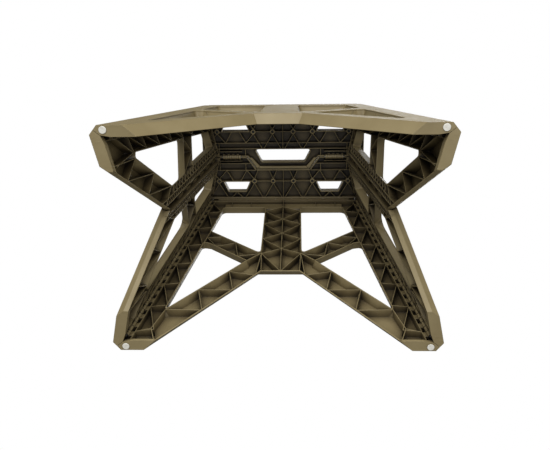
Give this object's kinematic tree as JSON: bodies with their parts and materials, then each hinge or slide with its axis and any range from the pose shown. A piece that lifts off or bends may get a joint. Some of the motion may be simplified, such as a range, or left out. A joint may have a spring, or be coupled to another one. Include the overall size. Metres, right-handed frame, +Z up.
{
  "type": "folding step stool",
  "caption": "Folding step stool in olive moulded plastic with ribbed panels, bi-fold ends and a hand slot in the two-part seat.",
  "frame": {"origin": "on the floor under the middle of the seat", "axes": "+Z up, X along the seat, Y across it, rear is +Y"},
  "size_m": [0.4334, 0.3036, 0.4115],
  "materials": {
    "olive_plastic": "satin",
    "steel": "brushed",
    "pad_plastic": "satin",
    "rubber": "matte"
  },
  "bodies": {
    "leg_rear": {"leg_panel_rear": "olive_plastic", "leg_hinge_rod_rear": "steel", "corner_rod_left_rear": "steel", "corner_rod_right_rear": "steel", "foot_pad_left_rear": "pad_plastic", "foot_pad_right_rear": "pad_plastic"},
    "seat_rear": {"seat_half_rear": "olive_plastic", "seat_hinge_pin_left": "steel", "seat_hinge_pin_right": "steel", "grip_stud_rear_1": "rubber", "grip_stud_rear_2": "rubber", "grip_stud_rear_3": "rubber", "grip_stud_rear_4": "rubber", "grip_stud_rear_5": "rubber", "grip_stud_rear_6": "rubber"},
    "seat_front": {"seat_half_front": "olive_plastic", "grip_stud_front_1": "rubber", "grip_stud_front_2": "rubber", "grip_stud_front_3": "rubber", "grip_stud_front_4": "rubber", "grip_stud_front_5": "rubber", "grip_stud_front_6": "rubber"},
    "leg_front": {"leg_panel_front": "olive_plastic", "leg_hinge_rod_front": "steel", "corner_rod_left_front": "steel", "corner_rod_right_front": "steel", "foot_pad_left_front": "pad_plastic", "foot_pad_right_front": "pad_plastic"},
    "end_left_rear": {"end_half_left_rear": "olive_plastic", "end_hinge_rod_left": "steel"},
    "end_left_front": {"end_half_left_front": "olive_plastic"},
    "end_right_rear": {"end_half_right_rear": "olive_plastic", "end_hinge_rod_right": "steel"},
    "end_right_front": {"end_half_right_front": "olive_plastic"}
  },
  "joints": [
    {"name": "seat_rear_fold", "type": "hinge", "parent": "leg_rear", "child": "seat_rear", "pos_m": [0, 0.0845, 0.4025], "axis": [-1, 0, 0], "range_deg": [0, 61]},
    {"name": "seat_middle_fold", "type": "hinge", "parent": "seat_rear", "child": "seat_front", "pos_m": [0, 0, 0.3948], "axis": [1, 0, 0], "range_deg": [0, 128.5]},
    {"name": "seat_front_fold", "type": "hinge", "parent": "seat_front", "child": "leg_front", "pos_m": [0, -0.0845, 0.4025], "axis": [-1, 0, 0], "range_deg": [0, 61.1]},
    {"name": "end_left_front_fold", "type": "hinge", "parent": "leg_front", "child": "end_left_front", "pos_m": [-0.13, -0.0798, 0.395], "axis": [-0.1821, -0.1467, -0.9723], "range_deg": [0, 59.8]},
    {"name": "end_left_rear_fold", "type": "hinge", "parent": "leg_rear", "child": "end_left_rear", "pos_m": [-0.13, 0.0798, 0.395], "axis": [0.1821, -0.1467, 0.9723], "range_deg": [0, 59.8]},
    {"name": "end_right_front_fold", "type": "hinge", "parent": "leg_front", "child": "end_right_front", "pos_m": [0.13, -0.0798, 0.395], "axis": [-0.1821, 0.1467, 0.9723], "range_deg": [0, 59.8]},
    {"name": "end_right_rear_fold", "type": "hinge", "parent": "leg_rear", "child": "end_right_rear", "pos_m": [0.13, 0.0798, 0.395], "axis": [0.1821, 0.1467, -0.9723], "range_deg": [0, 59.8]}
  ],
  "couplings": [
    {"joint": "seat_middle_fold", "follows": "seat_rear_fold", "ratio": 2.1053},
    {"joint": "seat_front_fold", "follows": "seat_rear_fold", "ratio": 1},
    {"joint": "end_left_front_fold", "follows": "seat_rear_fold", "ratio": 0.97895},
    {"joint": "end_left_rear_fold", "follows": "seat_rear_fold", "ratio": 0.97895},
    {"joint": "end_right_front_fold", "follows": "seat_rear_fold", "ratio": 0.97895},
    {"joint": "end_right_rear_fold", "follows": "seat_rear_fold", "ratio": 0.97895}
  ]
}
